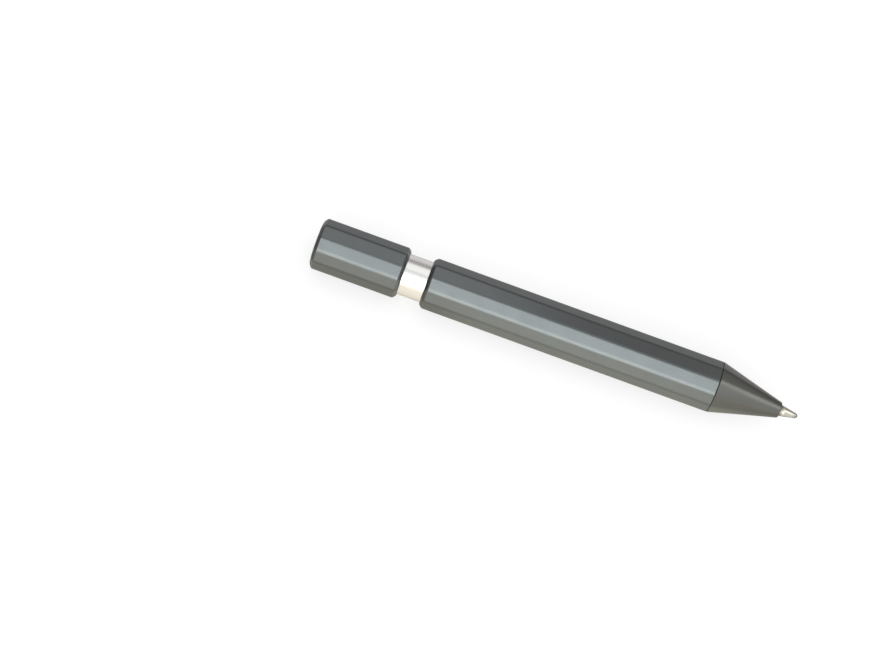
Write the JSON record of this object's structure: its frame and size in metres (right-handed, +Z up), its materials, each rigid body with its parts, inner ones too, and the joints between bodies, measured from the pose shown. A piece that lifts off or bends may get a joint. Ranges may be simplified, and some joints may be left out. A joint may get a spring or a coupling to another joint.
{
  "type": "retractable pen",
  "caption": "Faceted retractable pen; twisting the rear cap on its polished neck turns a cam that slides the refill's point out of, or back into, the tapered nose.",
  "frame": {"origin": "under the middle of the pen, on the surface it lies on", "axes": "+X along the pen towards its point, +Z up, away from the facet that it lies on"},
  "size_m": [0.1298, 0.0134, 0.0134],
  "materials": {
    "lacquer_cap": "satin dark grey lacquer",
    "lacquer_barrel": "satin dark grey lacquer",
    "lacquer_nose": "satin dark grey lacquer",
    "polished_neck": "polished",
    "brass": "turned",
    "refill_metal": "drawn tube",
    "steel": "bright",
    "nickel_silver": "bright turned nickel silver",
    "nylon": "moulded",
    "ring_rubber": "matte"
  },
  "bodies": {
    "barrel": {"barrel": "lacquer_barrel", "neck_sleeve": "polished_neck", "guide_tube": "brass", "front_thrust_washer": "nylon", "rear_thrust_washer": "nylon", "retaining_ring": "steel", "front_bush": "brass", "nose_cone": "lacquer_nose", "nose_o_ring": "ring_rubber", "return_spring": "steel"},
    "cap": {"twist_cap": "lacquer_cap", "cap_insert": "brass", "cam_tube": "brass", "friction_ring": "ring_rubber"},
    "refill": {"follower": "nylon", "follower_pin": "steel", "refill_plug": "nylon", "ink_tube": "refill_metal", "refill_collar": "nylon", "tip_socket": "nickel_silver"},
    "ball": {"writing_ball": "steel"}
  },
  "joints": [
    {"name": "cap_twist", "type": "hinge", "parent": "barrel", "child": "cap", "pos_m": [0, 0, 0.0067], "axis": [1, 0, 0], "range_deg": [0, 180]},
    {"name": "refill_slide", "type": "slide", "parent": "barrel", "child": "refill", "axis": [-1, 0, 0], "range_m": [0, 0.0058], "deforming": ["return_spring"]},
    {"name": "ball_roll", "type": "hinge", "parent": "refill", "child": "ball", "pos_m": [0.06445, 0, 0.0067], "axis": [0, 1, 0], "continuous": true}
  ],
  "couplings": [
    {"joint": "cap_twist", "follows": "refill_slide", "rad_per_m": 541.65}
  ]
}
